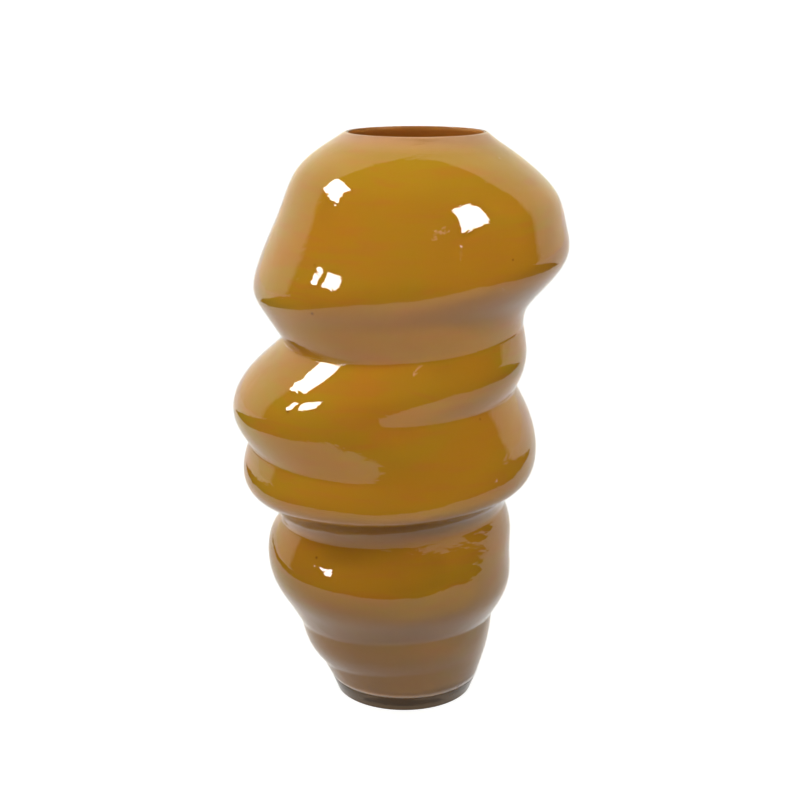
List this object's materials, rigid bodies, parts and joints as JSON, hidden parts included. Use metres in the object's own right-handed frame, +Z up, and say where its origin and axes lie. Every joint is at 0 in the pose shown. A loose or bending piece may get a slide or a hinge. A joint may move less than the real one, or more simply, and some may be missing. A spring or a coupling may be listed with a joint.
{
  "type": "gourd vase",
  "caption": "Gourd-shaped vase of blown cased glass: ochre body squeezed into leaning rolls, small round mouth, short clear foot.",
  "frame": {"origin": "on the standing surface, under the middle of the body", "axes": "+Z up through the mouth, -Y towards the viewer of the picture, +X to that viewer's right"},
  "size_m": [0.1742, 0.1613, 0.3],
  "materials": {
    "foot_glass": "thick clear glass with a smoky tint, fire-polished side, ground standing ring, polished pontil hollow",
    "casing_glass": "clear fire-polished glass with fine seeds and faint swirl lines",
    "colour_glass": "opaque ochre colour glass, drawn thin towards the lip, with faint olive swirls",
    "lining_glass": "transparent amber glass, glossy"
  },
  "bodies": {
    "root": {"clear_foot": "foot_glass", "clear_casing": "casing_glass", "colour_layer": "colour_glass", "amber_lining": "lining_glass"}
  },
  "joints": []
}
